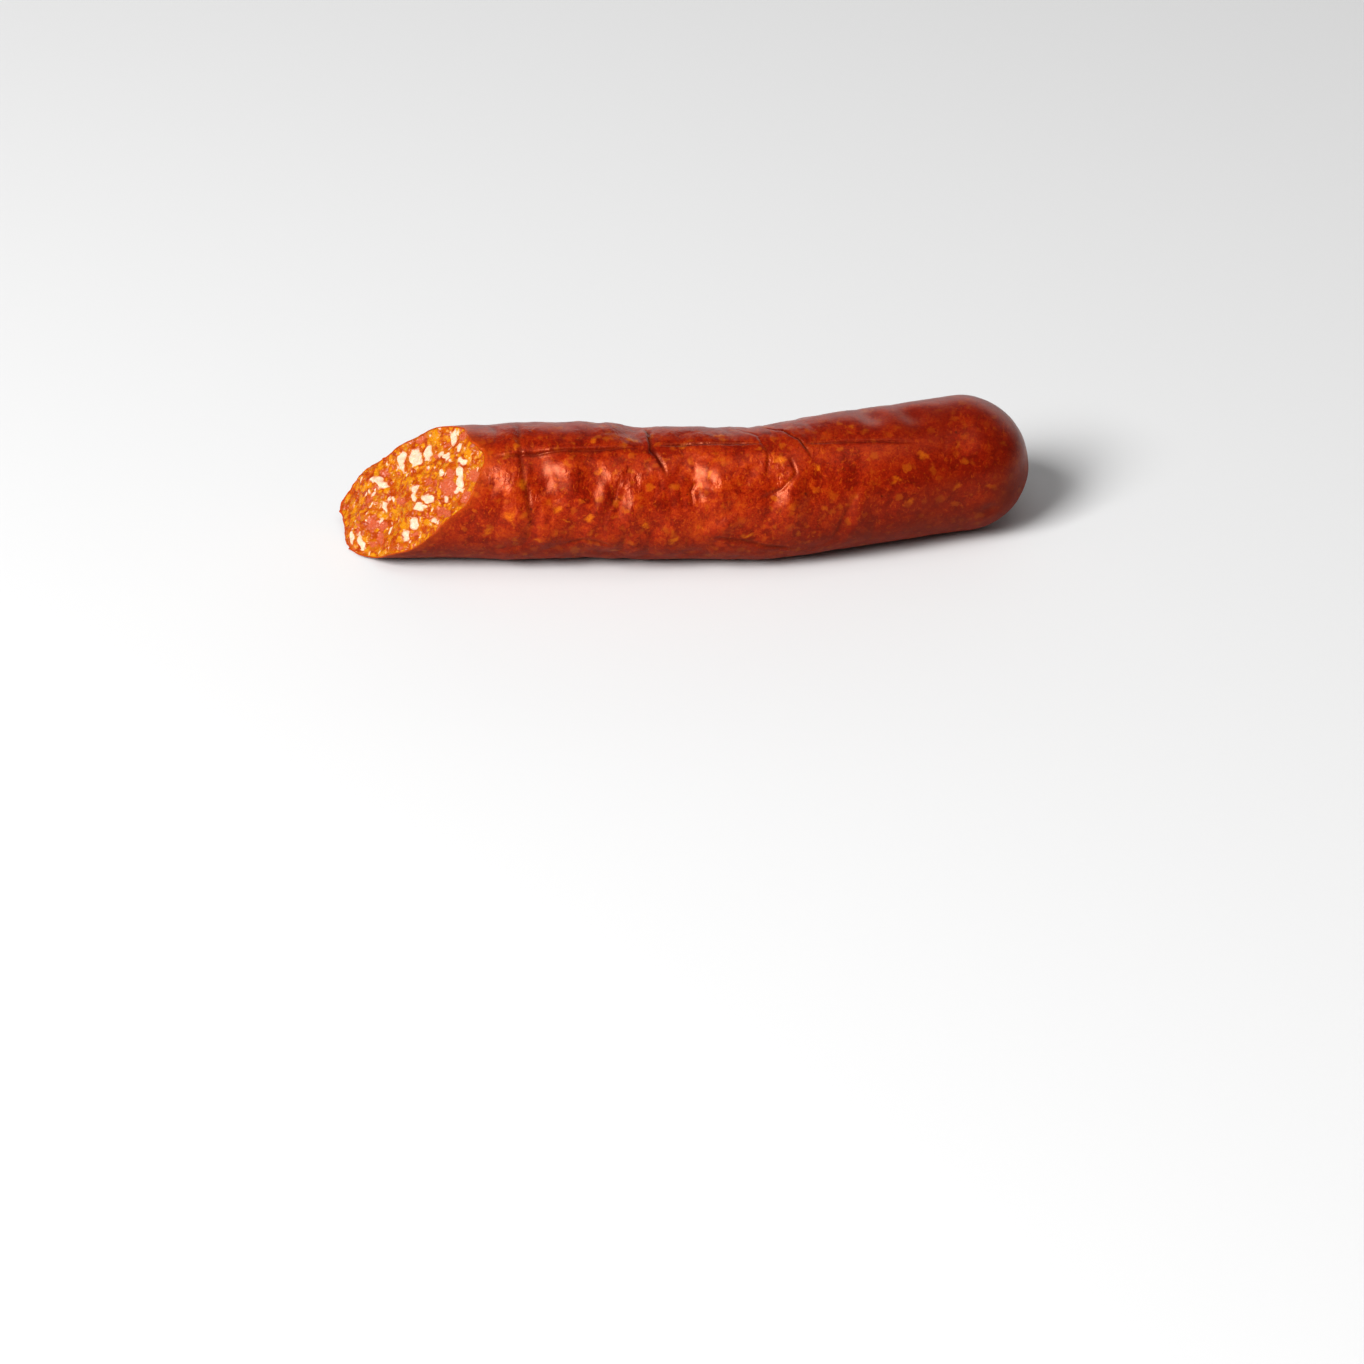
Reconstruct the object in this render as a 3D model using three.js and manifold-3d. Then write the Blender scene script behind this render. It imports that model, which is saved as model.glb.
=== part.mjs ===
// Cut half of a cured sausage lying on its side: coarse minced meat stuffed into a natural casing.
// The left end is cut open on a slant, and the right end is round, with the casing twisted shut there.
// Millimetres and degrees, +Z up, X along the sausage. It rests on the plane z = 0.
import * as THREE from "three";
import { mergeVertices } from "three/addons/utils/BufferGeometryUtils.js";
import Module from "manifold-3d";

// Driving dimensions of the stuffed sausage
const calibre = 39.8; // outside diameter where the sausage is fullest
const narrowing = 1.8; // how much less the diameter is at the cut and where the sausage bends
const bodyLength = 162.6; // along the centreline, middle of the cut to middle of the round end
const bellyAt = 41; // how far from the middle of the cut the body is fullest
const bendStart = 90; // distance along the centreline from the middle of the cut
const bendRun = 29; // length of the stretch that bends
const bendAngle = 15; // how far the round end swings towards +Y
const contactDepth = 0.5; // how far its own weight presses the underside flat

// The knife cut: its face points left, up and a little to the front
const cutLean = 40; // how far the face tips upwards
const cutTurn = 30; // how far the face turns towards -Y

// Casing, and the filling inside it
const casingWall = 0.5;
const peelGap = 0.3; // clearance between the casing and the filling

// The casing's twist at the round end
const twistLean = 30; // the twist sits this much further round towards +Y than the centreline's end
const twistNeck = 3.2; // diameter of the neck that the casing is twisted down to
const twistTip = 4; // diameter of the dried tip
const twistLength = 4; // how far the tip stands out of the round end

// Fineness of the facets
const facetsAround = 36;
const bodyStep = 8; // longest ring spacing along the body
const domeSteps = 8; // rings from the body to the pole

const fullRadius = calibre / 2;
const slimRadius = (calibre - narrowing) / 2;
const blankLength = 2.2 * fullRadius; // what the knife takes off, past the middle of the cut
const knifeSize = 8 * fullRadius;

const wasm = await Module();
wasm.setup();

// Outside radius at a distance along the centreline: slim at the cut, full past it, slim again where the
// sausage bends, and full at the round end.
function outsideRadius(along) {
  const waistAt = bendStart - bendRun / 3;
  const fullness =
    THREE.MathUtils.smoothstep(along, 0, bellyAt) -
    THREE.MathUtils.smoothstep(along, bellyAt, waistAt) +
    THREE.MathUtils.smoothstep(along, waistAt, bodyLength - fullRadius);
  return slimRadius + (fullRadius - slimRadius) * fullness;
}

// Heading of the centreline, in radians.
function heading(along) {
  const share = THREE.MathUtils.smoothstep(along, bendStart, bendStart + bendRun);
  return THREE.MathUtils.degToRad(bendAngle) * share;
}

function centrePoint(along) {
  const steps = 60;
  const point = new THREE.Vector2(Math.min(along, bendStart), 0);
  const run = Math.max(along - bendStart, 0) / steps;
  for (let i = 0; i < steps; i++) {
    const angle = heading(bendStart + run * (i + 0.5));
    point.x += run * Math.cos(angle);
    point.y += run * Math.sin(angle);
  }
  return point;
}

// Side profile of the sausage, moved in by inset, with each point as (radius, distance along the
// centreline): the middle of the uncut end, the body's rings, then a quarter circle towards the pole.
function bodyProfile(inset) {
  const points = [new THREE.Vector2(0, -blankLength)];
  const rings = Math.ceil((blankLength + bodyLength) / bodyStep);
  for (let i = 0; i < rings; i++) {
    const along = -blankLength + ((blankLength + bodyLength) * i) / rings;
    points.push(new THREE.Vector2(outsideRadius(along) - inset, along));
  }
  const domeRadius = outsideRadius(bodyLength) - inset;
  for (let i = 0; i < domeSteps; i++) {
    const angle = (Math.PI / 2) * (i / domeSteps);
    const ring = new THREE.Vector2(Math.cos(angle), Math.sin(angle));
    points.push(ring.multiplyScalar(domeRadius).add(new THREE.Vector2(0, bodyLength)));
  }
  return points;
}

// The outside runs on into the twist, and ends in the middle of its tip.
function twistProfile() {
  const pole = bodyLength + outsideRadius(bodyLength);
  return [
    new THREE.Vector2(twistNeck / 2, pole),
    new THREE.Vector2(twistNeck / 2, pole + 0.35 * twistLength),
    new THREE.Vector2(twistTip / 2, pole + 0.6 * twistLength),
    new THREE.Vector2(twistTip / 2, pole + 0.85 * twistLength),
    new THREE.Vector2(twistTip / 4, pole + twistLength),
    new THREE.Vector2(0, pole + twistLength),
  ];
}

function poleProfile(inset) {
  return [new THREE.Vector2(0, bodyLength + outsideRadius(bodyLength) - inset)];
}

// Carries a point of the straight lathe shape to the bent sausage. The round end is turned about its own
// middle, so that it stays a ball while the twist moves round to the back.
function bendPoint(point, floorHeight) {
  const along = Math.min(point.y, bodyLength);
  const arm = new THREE.Vector3(point.y - along, -point.x, point.z);
  const up = new THREE.Vector3(0, 0, 1);
  if (arm.x > 0) {
    const share = THREE.MathUtils.smoothstep(arm.x / arm.length(), 0, 1);
    arm.applyAxisAngle(up, THREE.MathUtils.degToRad(twistLean) * share);
  }
  arm.applyAxisAngle(up, heading(along));
  const centre = centrePoint(along);
  const height = outsideRadius(along) - contactDepth + arm.z;
  return new THREE.Vector3(centre.x + arm.x, centre.y + arm.y, Math.max(height, floorHeight));
}

function bentSausage(profile, floorHeight) {
  const geometry = new THREE.LatheGeometry(profile, facetsAround);
  const place = geometry.getAttribute("position");
  for (let i = 0; i < place.count; i++) {
    const moved = bendPoint(new THREE.Vector3().fromBufferAttribute(place, i), floorHeight);
    place.setXYZ(i, moved.x, moved.y, moved.z);
  }
  return solidOf(geometry);
}

function solidOf(geometry) {
  const bare = geometry.clone();
  bare.deleteAttribute("normal");
  bare.deleteAttribute("uv");
  const merged = mergeVertices(bare, 1e-3);
  return new wasm.Manifold(
    new wasm.Mesh({
      numProp: 3,
      vertProperties: merged.getAttribute("position").array,
      triVerts: new Uint32Array(merged.index.array),
    }),
  );
}

// The knife's box, with its near face in the plane of the cut.
function knife() {
  const lean = THREE.MathUtils.degToRad(cutLean);
  const turn = THREE.MathUtils.degToRad(cutTurn);
  const geometry = new THREE.BoxGeometry(knifeSize, knifeSize, knifeSize)
    .translate(-knifeSize / 2, 0, 0)
    .rotateY(lean)
    .rotateZ(turn)
    .translate(0, 0, outsideRadius(0) - contactDepth);
  return solidOf(geometry);
}

function meshOf(name, solid, settings) {
  const made = solid.getMesh();
  const geometry = new THREE.BufferGeometry();
  geometry.setAttribute("position", new THREE.BufferAttribute(made.vertProperties, 3));
  geometry.setIndex(new THREE.BufferAttribute(made.triVerts, 1));
  geometry.computeVertexNormals();
  const mesh = new THREE.Mesh(geometry, new THREE.MeshStandardMaterial(settings));
  mesh.name = name;
  return mesh;
}

const cut = knife();
const outside = bentSausage([...bodyProfile(0), ...twistProfile()], 0);
const inside = bentSausage([...bodyProfile(casingWall), ...poleProfile(casingWall)], casingWall);
const casing = meshOf("casing", outside.subtract(inside).subtract(cut), {
  color: 0x9c2a12,
  roughness: 0.38,
  metalness: 0,
});

const fillingInset = casingWall + peelGap;
const stuffing = bentSausage([...bodyProfile(fillingInset), ...poleProfile(fillingInset)], fillingInset);
const filling = meshOf("filling", stuffing.subtract(cut), {
  color: 0xd9701f,
  roughness: 0.5,
  metalness: 0,
});

// The origin goes to the middle of the sausage's footprint, on the surface that it rests on.
const footprint = new THREE.Box3().setFromObject(casing).getCenter(new THREE.Vector3());
const sausage = new THREE.Group();
for (const piece of [casing, filling]) {
  piece.position.set(-footprint.x, -footprint.y, 0);
  sausage.add(piece);
}

export default sausage;
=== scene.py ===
import bpy
import numpy as np
from mathutils import Matrix, Vector


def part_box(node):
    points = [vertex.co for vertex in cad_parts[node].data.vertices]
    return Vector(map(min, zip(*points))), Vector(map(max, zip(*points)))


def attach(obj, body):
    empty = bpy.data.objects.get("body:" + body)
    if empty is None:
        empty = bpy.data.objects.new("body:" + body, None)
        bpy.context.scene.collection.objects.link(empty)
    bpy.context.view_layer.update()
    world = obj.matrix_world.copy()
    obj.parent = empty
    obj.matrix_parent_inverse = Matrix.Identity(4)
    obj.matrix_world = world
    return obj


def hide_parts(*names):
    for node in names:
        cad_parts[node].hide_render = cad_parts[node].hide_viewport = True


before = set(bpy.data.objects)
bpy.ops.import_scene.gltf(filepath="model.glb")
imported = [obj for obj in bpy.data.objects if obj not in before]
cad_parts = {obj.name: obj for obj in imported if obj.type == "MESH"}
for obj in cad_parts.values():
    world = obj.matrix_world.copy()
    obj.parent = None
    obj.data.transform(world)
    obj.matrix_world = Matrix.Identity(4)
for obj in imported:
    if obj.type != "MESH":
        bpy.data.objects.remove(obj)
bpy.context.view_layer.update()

mm = 0.001

# The sausage's own sizes, in mm and degrees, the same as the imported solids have
sausage = {
    "calibre": 39.8,  # across, where it is fullest
    "narrowing": 1.8,  # how much slimmer it is at the cut and at the bend
    "length": 162.6,  # middle of the cut to the middle of the round end
    "bellyAt": 41.0,  # first fullest place
    "bendStart": 90.0,
    "bendRun": 29.0,  # length over which it turns
    "bendAngle": 15.0,
    "contactDepth": 0.5,  # how deep the floor presses it flat
    "cutLean": 40.0,  # the knife's slant: upwards, then towards the front
    "cutTurn": 30.0,
    "cutSway": (0.50, 17),  # height and length of the waves in the cut
    "cutRipple": (0.05, 4.0),
    "twistLean": 30.0,  # how far the twist points to the back
    "twistShoulder": 2.9,  # radius at which the round end turns into the neck
    "twistNeck": 3.2,  # across, at its slimmest
    "twistTip": 4.0,
    "twistLength": 4.0,
}
fullRadius = sausage["calibre"] / 2
slimRadius = (sausage["calibre"] - sausage["narrowing"]) / 2


# Eases from 0 at low to 1 at high: t squared times (3 - 2t).
def ease(value, low, high):
    t = np.clip((value - low) / (high - low), 0, 1)
    return t * t * (3 - 2 * t)


# A smooth random field with a spread of about 1: cosine waves of about one wavelength, in random
# directions, added up. stretch draws its blobs out along x, y and z.
def waves(points, wavelength, seed, stretch=(1, 1, 1), count=36):
    rng = np.random.default_rng(seed)
    direction = rng.normal(size=(count, points.shape[-1]))
    direction /= np.linalg.norm(direction, axis=1, keepdims=True)
    direction /= wavelength * rng.uniform(0.7, 1.4, (count, 1))
    direction /= np.array(stretch[: points.shape[-1]])
    phase = 2 * np.pi * points @ direction.T + rng.uniform(0, 2 * np.pi, count)
    return np.cos(phase).sum(-1) * np.sqrt(2 / count)


# sRGB hex to linear, as Blender's sockets want it.
def colour(code):
    parts = np.array([int(code[i : i + 2], 16) for i in (1, 3, 5)]) / 255
    linear = np.where(parts <= 0.04045, parts / 12.92, ((parts + 0.055) / 1.055) ** 2.4)
    return (*linear.tolist(), 1.0)


# Adds a node with its properties and its sockets; a socket that is given an output is linked to it.
def addNode(tree, kind, properties, sockets):
    node = tree.nodes.new(kind)
    for name, value in properties.items():
        setattr(node, name, value)
    for name, value in sockets.items():
        if isinstance(value, bpy.types.NodeSocket):
            tree.links.new(value, node.inputs[name])
        else:
            node.inputs[name].default_value = value
    return node


# Sets a colour ramp's stops, in place of the black and white that it starts with.
def setStops(ramp, stops):
    ramp.elements.remove(ramp.elements[1])
    ramp.elements[0].position, ramp.elements[0].color = stops[0][0], colour(stops[0][1])
    for place, code in stops[1:]:
        ramp.elements.new(place).color = colour(code)


# A material with an empty node tree, and the tree.
def emptyMaterial(name):
    material = bpy.data.materials.new(name)
    material.use_nodes = True
    material.node_tree.nodes.clear()
    return material, material.node_tree


# A mesh from points in mm and faces, smooth shaded but for the edges along the sharp loops of vertices, with
# one float attribute for each named array.
def makePiece(name, points, faces, material, attributes, sharpLoops):
    mesh = bpy.data.meshes.new(name)
    sizes = np.array([len(block[0]) for block in faces for _ in range(len(block))], dtype=np.int32)
    corners = np.concatenate([block.ravel() for block in faces]).astype(np.int32)
    mesh.vertices.add(len(points))
    mesh.vertices.foreach_set("co", (points * mm).astype(np.float32).ravel())
    mesh.loops.add(len(corners))
    mesh.loops.foreach_set("vertex_index", corners)
    mesh.polygons.add(len(sizes))
    mesh.polygons.foreach_set("loop_start", np.concatenate([[0], np.cumsum(sizes)[:-1]]).astype(np.int32))
    mesh.polygons.foreach_set("loop_total", sizes)
    mesh.update(calc_edges=True)
    mesh.polygons.foreach_set("use_smooth", np.ones(len(sizes), dtype=bool))
    for label, values in attributes.items():
        layer = mesh.attributes.new(label, "FLOAT", "POINT")
        layer.data.foreach_set("value", values.astype(np.float32))
    loopOf = np.zeros(len(points), dtype=np.int32)
    for number, loop in enumerate(sharpLoops, 1):
        loopOf[loop] = number
    ends = np.empty(len(mesh.edges) * 2, dtype=np.int32)
    mesh.edges.foreach_get("vertices", ends)
    ends = loopOf[ends.reshape(-1, 2)]
    sharp = mesh.attributes.new("sharp_edge", "BOOLEAN", "EDGE")
    sharp.data.foreach_set("value", (ends[:, 0] > 0) & (ends[:, 0] == ends[:, 1]))
    mesh.materials.append(material)
    piece = bpy.data.objects.new(name, mesh)
    bpy.context.scene.collection.objects.link(piece)
    return piece


# Quads between neighbouring rows of a table of vertex numbers, joined up round the last axis if closed.
def quads(index, closed=True):
    thisRow, nextRow = index[:-1], index[1:]
    if closed:
        corners = [thisRow, nextRow, np.roll(nextRow, -1, 1), np.roll(thisRow, -1, 1)]
    else:
        corners = [thisRow[:, :-1], nextRow[:, :-1], nextRow[:, 1:], thisRow[:, 1:]]
    return np.stack(corners, -1).reshape(-1, 4)


# Outside radius at a distance along the centreline: slim at the cut, full, slim at the bend, full again.
def outsideRadius(along):
    waistAt = sausage["bendStart"] - sausage["bendRun"] / 3
    fullness = (
        ease(along, 0, sausage["bellyAt"])
        - ease(along, sausage["bellyAt"], waistAt)
        + ease(along, waistAt, sausage["length"] - fullRadius)
    )
    return slimRadius + (fullRadius - slimRadius) * fullness


# Which way the centreline points, as an angle from +X: it eases from 0 to the bend's angle.
def heading(along):
    share = ease(along, sausage["bendStart"], sausage["bendStart"] + sausage["bendRun"])
    return np.radians(sausage["bendAngle"]) * share


# The centreline: its heading added up in small steps from the middle of the cut.
def centreline(along):
    steps = np.linspace(-60, sausage["length"], 2400)
    turn = heading((steps[1:] + steps[:-1]) / 2)
    x = np.concatenate([[0], np.cumsum(np.diff(steps) * np.cos(turn))]) - 60
    y = np.concatenate([[0], np.cumsum(np.diff(steps) * np.sin(turn))])
    return np.interp(along, steps, x), np.interp(along, steps, y)


# A point of the skin. around is the angle from the top towards the front (-Y). reach is the distance from
# the centreline, and forward the share of it that points on along the sausage: 0 on the body, up to 1 at
# the pole of the round end, whose arm is turned further towards the back so that the twist sits there.
def skinPoint(along, around, reach, forward=0.0):
    along, around, reach, forward = np.broadcast_arrays(along, around, reach, forward)
    sideways = np.sqrt(np.clip(1 - forward**2, 0, 1))
    turn = heading(along) + np.radians(sausage["twistLean"]) * ease(forward, 0, 1)
    side = -sideways * np.sin(around)
    x, y = centreline(along)
    return np.stack(
        [
            x + reach * (forward * np.cos(turn) - side * np.sin(turn)),
            y + reach * (forward * np.sin(turn) + side * np.cos(turn)),
            outsideRadius(along) - sausage["contactDepth"] + reach * sideways * np.cos(around),
        ],
        -1,
    )


# The knife's plane, with its normal out of the sausage and the two directions in it
cutLean, cutTurn = np.radians(sausage["cutLean"]), np.radians(sausage["cutTurn"])
cutMiddle = np.array([0, 0, outsideRadius(0.0) - sausage["contactDepth"]])
cutNormal = np.array([-np.cos(cutLean) * np.cos(cutTurn), -np.cos(cutLean) * np.sin(cutTurn), np.sin(cutLean)])
cutAcross = np.array([np.sin(cutTurn), -np.cos(cutTurn), 0])  # level, towards the front right
cutUp = np.cross(cutNormal, cutAcross)  # up the slope of the cut


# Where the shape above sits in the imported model's frame: points are laid over the smooth skin, and the middle
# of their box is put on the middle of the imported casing's box, with the undersides at the same height.
def shiftToFrame():
    along, around = np.meshgrid(np.linspace(-30, 163, 400), np.linspace(0, 2 * np.pi, 180))
    body = skinPoint(np.minimum(along, sausage["length"]), around, outsideRadius(along))
    body = body[(body - cutMiddle) @ cutNormal <= 0]
    forward = np.sin(np.linspace(0, np.pi / 2, 90))[:, None]
    end = skinPoint(sausage["length"], np.linspace(0, 2 * np.pi, 180), fullRadius, forward)
    points = np.concatenate([body, end.reshape(-1, 3)])
    low, high = (np.array(corner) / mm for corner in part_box("casing"))
    shift = (low + high) / 2 - (points.min(0) + points.max(0)) / 2
    shift[2] = low[2]
    return shift


shift = shiftToFrame()
print("shape set out, shifted by", shift.round(2), "mm")

skin = {
    "wall": 0.3,
    "hiddenWall": 2.6,  # the inner wall drops clear of the relief once it is out of sight
    "columns": 212,  # round the sausage
    "rows": 370,  # from the cut to the round end, over it, and up the neck of the twist
    "endRows": 44,
    "neckRows": 19,
    # height and size in mm of the random unevenness, from the broadest to the finest
    "sway": (0.26, 40),
    "pillow": (0.46, 15),
    "ripple": (0.10, 6.0),
    "crinkle": (0.03, 2.8),
    "foldWobble": (0.25, 7),
    "foldSides": (0.7, 4.5),  # mm from a fold over which its swollen sides rise, and die away
    "foldShadeDepth": 0.7,  # depth from which a fold's painted shade is as dark as it gets
    "pleats": 11,  # round the neck, and how high they stand
    "pleatHeight": 0.32,
    "twistRibs": 5,
    "ribHeight": 0.16,
    # folds: (along mm, around degrees) points, depth and width of the groove, and how high the skin swells
    # beside it: towards the cut or the front first, then towards the round end or the back
    "folds": [
        ([(18, 31), (33, 28), (44, 25), (56, 21), (70, 15)], 0.45, 0.55, -0.55, 0.20),
        ([(71, 14), (84, 12), (96, 13), (103, 15)], 0.50, 0.50, 0.25, -0.05),
        ([(110, 17), (121, 22), (133, 28), (146, 36)], 0.30, 0.45, 0.15, -0.05),
        ([(68.5, -28), (70, 2), (71, 20), (75.5, 47)], 0.60, 0.50, 0.30, 0.10),
        ([(31, -24), (33, 6), (33.5, 31), (35, 59), (37.5, 99)], 0.38, 0.55, 0.10, 0.35),
        ([(62.3, 36), (61.0, 52), (58.6, 75), (56, 108)], 0.12, 0.70, -0.35, 0.30),
        ([(24, -26), (26, 2), (25, 24)], 0.40, 0.50, 0.10, 0.30),
        ([(99, -26), (108, -3), (112, 15), (114.5, 38)], 0.50, 0.42, 0.45, -0.10),
        ([(94, -20), (101, 4), (103, 28), (102, 52)], 0.20, 0.42, 0.30, 0.00),
        ([(108, 26), (109.5, 46), (106, 58), (100, 67)], 0.25, 0.50, 0.20, 0.10),
        ([(87, 99), (97, 107), (110, 122)], 0.35, 0.45, 0.20, 0.10),
        ([(45, 112), (52, 104), (60, 108)], 0.30, 0.45, 0.15, 0.10),
        ([(84, 48), (82, 58), (83, 72)], 0.25, 0.40, 0.20, 0.20),
        ([(125, 66), (121.5, 90), (118, 112)], 0.22, 0.50, -0.20, 0.35),
        ([(40, 200), (47, 225), (45, 262)], 0.45, 0.50, 0.35, 0.25),
        ([(78, 196), (74, 228), (77, 270)], 0.50, 0.50, 0.30, 0.40),
        ([(106, 214), (110, 240), (107, 285)], 0.40, 0.45, 0.30, 0.20),
        ([(128, 205), (131, 232), (129, 262)], 0.30, 0.45, 0.20, 0.20),
    ],
    # hollows and bulges: along mm, around degrees, depth or height, length along, spread around in degrees
    "swells": [
        (-5, -72, -3.0, 14, 34),
        (-20, -124, 1.9, 9, 18),
        (-22, -156, -1.0, 8, 16),
        (-22, 178, -1.2, 8, 26),
        (66, -10, -1.7, 5.5, 26),
        (24, -12, -0.9, 5, 24),
        (99, -14, -0.7, 8, 24),
        (81, -12, 0.6, 8, 24),
        (36, 52, -0.7, 4, 24),
        (52, 64, -0.5, 3.5, 26),
        (70, 66, -0.8, 5, 26),
        (78, 56, -0.6, 4, 22),
        (67, 104, 0.7, 8, 18),
        (93, 106, 0.6, 7, 16),
        (98, 66, -0.8, 5, 26),
        (115, 62, -0.8, 6, 28),
        (136, -4, -1.3, 4, 18),
        (147, 4, -1.1, 4, 16),
        (165, 107, -0.8, 2.2, 7),
        (60, 232, -0.7, 6, 26),
        (92, 248, 0.6, 7, 26),
        (116, 228, -0.6, 6, 24),
    ],
    # flats that lean towards the cut: along mm, around degrees, rise per mm, half length, half width in mm,
    # and degrees that their middle line runs off square to the sausage, towards the round end at the front
    "facets": [
        (44.5, 52, 0.48, 5.6, 11.0, 22), (28.5, 58, 0.20, 4.2, 9.0, 20), (56.5, 60, 0.30, 3.6, 7.0, 0),
        (62.0, 78, 0.50, 3.4, 10.0, -24), (87.0, 55, 0.46, 5.8, 10.5, 0), (89.5, 88, 0.50, 3.4, 7.0, -54),
        (106.0, 60, 0.38, 3.8, 7.5, -12), (124.0, 88, 0.50, 2.0, 7.0, -19), (74.0, 92, 0.14, 3.6, 6.0, 10),
        (38.0, 96, 0.12, 4.0, 6.0, 0), (68.0, 236, 0.20, 4.5, 9.0, 15), (101.0, 256, 0.22, 4.0, 8.0, -10),
        (34.0, 250, 0.20, 4.0, 8.0, -8), (90.0, -64, 0.16, 4.0, 8.0, 10), (50.0, -70, 0.16, 4.0, 8.0, -12),
    ],
    # pieces of fat that show through the skin: along mm, around degrees, half length, half width, slant
    "fat": [
        (65, 5, 1.7, 0.9, 20), (54, 11, 1.0, 0.6, 80), (56, 41, 1.4, 0.4, 80), (44, 76, 1.5, 0.9, 0),
        (32, 21, 1.1, 0.5, 90), (34, 54, 1.4, 0.9, 70), (30, 81, 1.3, 0.8, 30), (87, 43, 0.8, 0.7, 0),
        (106, 33, 1.5, 0.8, 30), (146, 47, 1.6, 0.8, 30), (165, 81, 1.2, 0.5, 0), (155, 77, 1.0, 0.6, 0),
        (90, 1, 1.4, 0.7, 0), (69, 88, 1.2, 0.7, 20), (53, 83, 1.3, 0.5, 140), (98, 100, 1.8, 0.5, 170),
        (115, 44, 0.9, 0.6, 90), (128, 9, 0.9, 0.4, 60), (137, 63, 1.1, 0.6, 30), (141, 84, 1.3, 0.5, 120),
        (24, 96, 1.2, 0.7, 60), (38, 104, 1.3, 0.6, 20), (77, 103, 1.2, 0.5, 0), (60, 118, 1.6, 0.5, 10),
    ],
}


# Signed distance in mm to a fold's line on the unrolled skin, and how strong the fold is there: it fades out
# over its first and last fifth. Each straight stretch is measured, and the nearest one is kept; the sign is
# that of the cross product of the stretch and the way to the point.
def foldDistance(along, around, line):
    line = np.array(line, dtype=float)
    line[:, 1] = np.radians(line[:, 1]) * fullRadius
    place = np.stack([along, around * fullRadius], -1)
    nearest = np.full(along.shape, 1e9)
    share = np.zeros(along.shape)
    lengths = np.linalg.norm(np.diff(line, axis=0), axis=1)
    start = np.concatenate([[0], np.cumsum(lengths)])
    for a, b, length, before in zip(line[:-1], line[1:], lengths, start):
        way = b - a
        reach = place - a
        t = np.clip((reach @ way) / length**2, 0, 1)
        away = np.linalg.norm(reach - t[..., None] * way, axis=-1)
        sign = np.where(way[0] * reach[..., 1] - way[1] * reach[..., 0] < 0, -1, 1)
        closer = away < np.abs(nearest)
        nearest = np.where(closer, away * sign, nearest)
        share = np.where(closer, (before + t * length) / start[-1], share)
    return nearest, ease(share, 0, 0.22) * ease(1 - share, 0, 0.22)


# The skin's height over the smooth shape in mm, in two parts, and the painted shade of its folds. broad: wide
# swells (bell curves), flats (a slope times a bell curve), and pillows between shrivelled valleys, which are a
# random
# field with its sign taken away. fine: ripples, each fold's groove (a bell curve across it) and its raised
# sides (1 less a bell curve, times a dying exponential). A fold gets painted shade over one and a half times
# its width.
def skinRelief(along, around, forward):
    sideways = np.sqrt(np.clip(1 - forward**2, 0, 1))
    across, upward = fullRadius * sideways * np.sin(around), fullRadius * sideways * np.cos(around)
    round3d = np.stack([along, upward, across], -1)
    wrapped = around % (2 * np.pi)
    shrivel = 0.30 + 0.70 * ease(along, 10, 36) * (1 - ease(along, 102, 138))
    nearTwist = 1 - ease(forward, 0.8, 0.97)
    onTop = (0.4 + 0.6 * ease(-np.cos(around), -0.97, -0.55)) * (1 - 0.8 * ease(-np.cos(around), 0.4, 0.95))
    swayHeight, swaySize = skin["sway"]
    pillowHeight, pillowSize = skin["pillow"]
    rippleHeight, rippleSize = skin["ripple"]
    crinkleHeight, crinkleSize = skin["crinkle"]
    pillow = onTop * np.sqrt(waves(round3d, pillowSize, 11, (1, 1.6, 1.6)) ** 2 + 0.03) - 0.8 * onTop
    ripple = onTop * np.sqrt(waves(round3d, rippleSize, 12, (1, 2.0, 2.0)) ** 2 + 0.02) - 0.8 * onTop
    crinkle = waves(round3d, crinkleSize, 14, (1, 2.2, 2.2))
    fromCut = ease((skinPoint(along, around, outsideRadius(along), forward) - cutMiddle) @ -cutNormal, 0.1, 7)
    broad = swayHeight * waves(round3d, swaySize, 13) + pillowHeight * shrivel * pillow * nearTwist
    broad = (0.3 + 0.7 * fromCut) * broad
    for place, angle, height, length, spread in skin["swells"]:
        turned = (np.degrees(wrapped) - angle + 180) % 360 - 180
        broad = broad + height * np.exp(-(((along - place) / length) ** 2) - (turned / spread) ** 2)
    for place, angle, slope, length, width, slant in skin["facets"]:
        c, s = np.cos(np.radians(slant)), np.sin(np.radians(slant))
        turned = ((np.degrees(wrapped) - angle + 180) % 360 - 180) * np.radians(1) * fullRadius
        u, v = (along - place) * c - turned * s, turned * c + (along - place) * s
        broad = broad + slope * u * np.exp(-((u / length) ** 2) - (v / width) ** 2)
    fine = shrivel * nearTwist * (rippleHeight * ripple + crinkleHeight * crinkle)
    grooveShade = np.zeros(along.shape)
    wobble = skin["foldWobble"][0] * waves(round3d, skin["foldWobble"][1], 15)
    sideRise, sideReach = skin["foldSides"]
    for line, depth, width, frontSwell, backSwell in skin["folds"]:
        middle = np.radians(np.mean([angle for _, angle in line]))
        nearLine = middle + (around - middle + np.pi) % (2 * np.pi) - np.pi
        away, strength = foldDistance(along + wobble, nearLine, line)
        notch = np.exp(-((away / width) ** 2))
        distance = np.abs(away)
        besideFold = (1 - np.exp(-((distance / sideRise) ** 2))) * np.exp(-distance / sideReach)
        side = np.where(away > 0, frontSwell, backSwell) * besideFold
        fine = fine + strength * (side - depth * notch)
        # painted shade along the fold, darker for deeper folds
        paintedFoldShade = np.exp(-((away / (1.5 * width)) ** 2)) * min(depth / skin["foldShadeDepth"], 1)
        grooveShade = np.maximum(grooveShade, strength * paintedFoldShade)
    return broad, fine * fromCut, grooveShade * fromCut


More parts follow.
